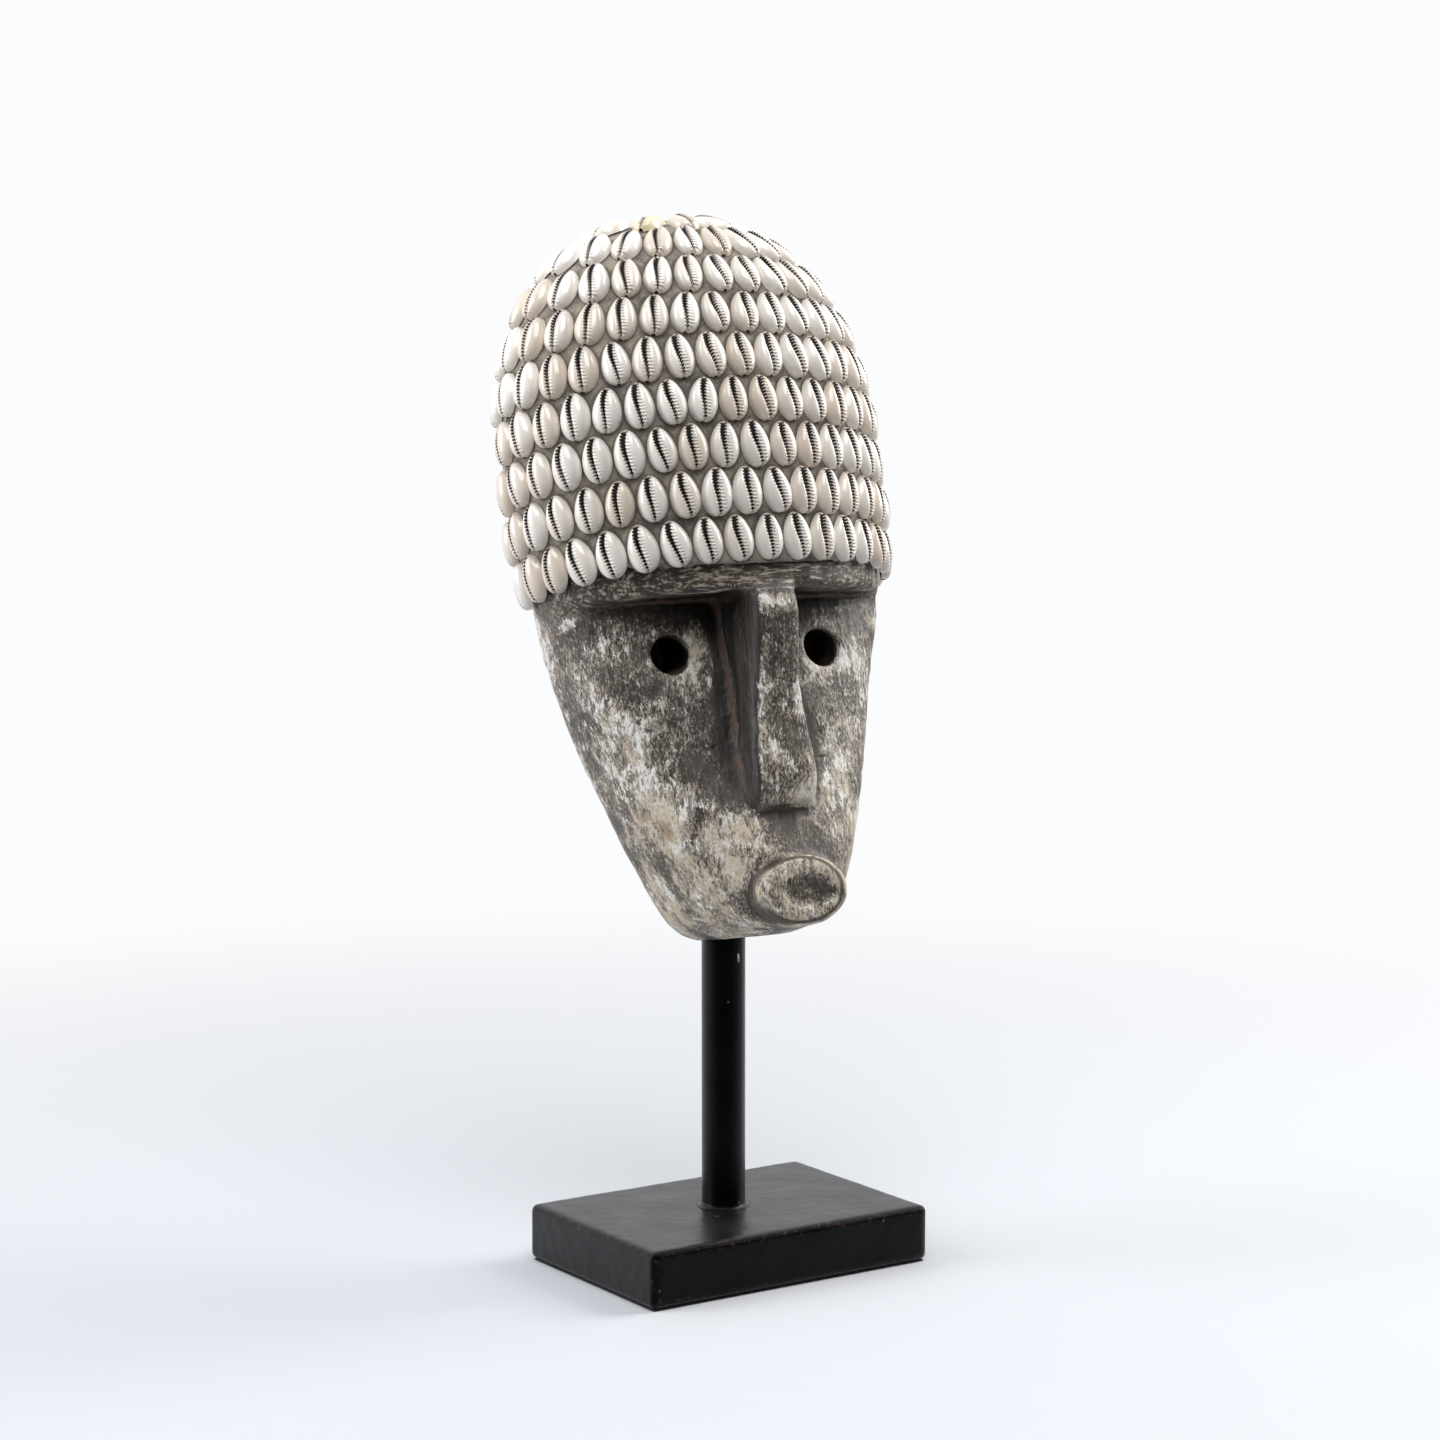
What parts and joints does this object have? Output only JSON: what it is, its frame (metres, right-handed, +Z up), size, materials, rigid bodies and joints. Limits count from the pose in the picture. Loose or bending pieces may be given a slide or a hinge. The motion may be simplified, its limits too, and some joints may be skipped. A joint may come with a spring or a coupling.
{
  "type": "carved wooden mask on stand",
  "caption": "Carved wooden face mask with a bar nose, drilled eyes, oval knob mouth and a cap of cowrie shells, on a round pole and a rectangular black base.",
  "frame": {"origin": "middle of the underside of the base, on the plane the stand rests on", "axes": "+Z up along the pole; the face looks along -Y, turned about 6 degrees towards -X; +X is to the right seen from the front"},
  "size_m": [0.1893, 0.1563, 0.4788],
  "materials": {
    "limewashed_wood": "dark stained wood with worn cream limewash",
    "bedding": "matt, mottled beige-grey",
    "cowrie_shell": "natural porcelain gloss",
    "black_lacquer": "satin black, worn edges",
    "black_lacquer_pole": "satin black",
    "black_filler": "satin black",
    "steel": "zinc plated",
    "felt": "matt felt"
  },
  "bodies": {
    "stand": {"base_block": "black_lacquer", "felt_sheet": "felt", "base_screw": "steel", "pole": "black_lacquer_pole", "foot_bead": "black_filler"},
    "mask": {"mask_body": "limewashed_wood", "cap_bedding": "bedding", "shell_row_1": "cowrie_shell", "shell_row_2": "cowrie_shell", "shell_row_3": "cowrie_shell", "shell_row_4": "cowrie_shell", "shell_row_5": "cowrie_shell", "shell_row_6": "cowrie_shell", "shell_row_7": "cowrie_shell", "shell_row_8": "cowrie_shell", "shell_row_9": "cowrie_shell", "shell_crown": "cowrie_shell"}
  },
  "joints": [
    {"name": "mask_turn", "type": "hinge", "parent": "stand", "child": "mask", "pos_m": [-0.002, 0.00135, 0.149], "axis": [0, 0, 1], "continuous": true}
  ]
}
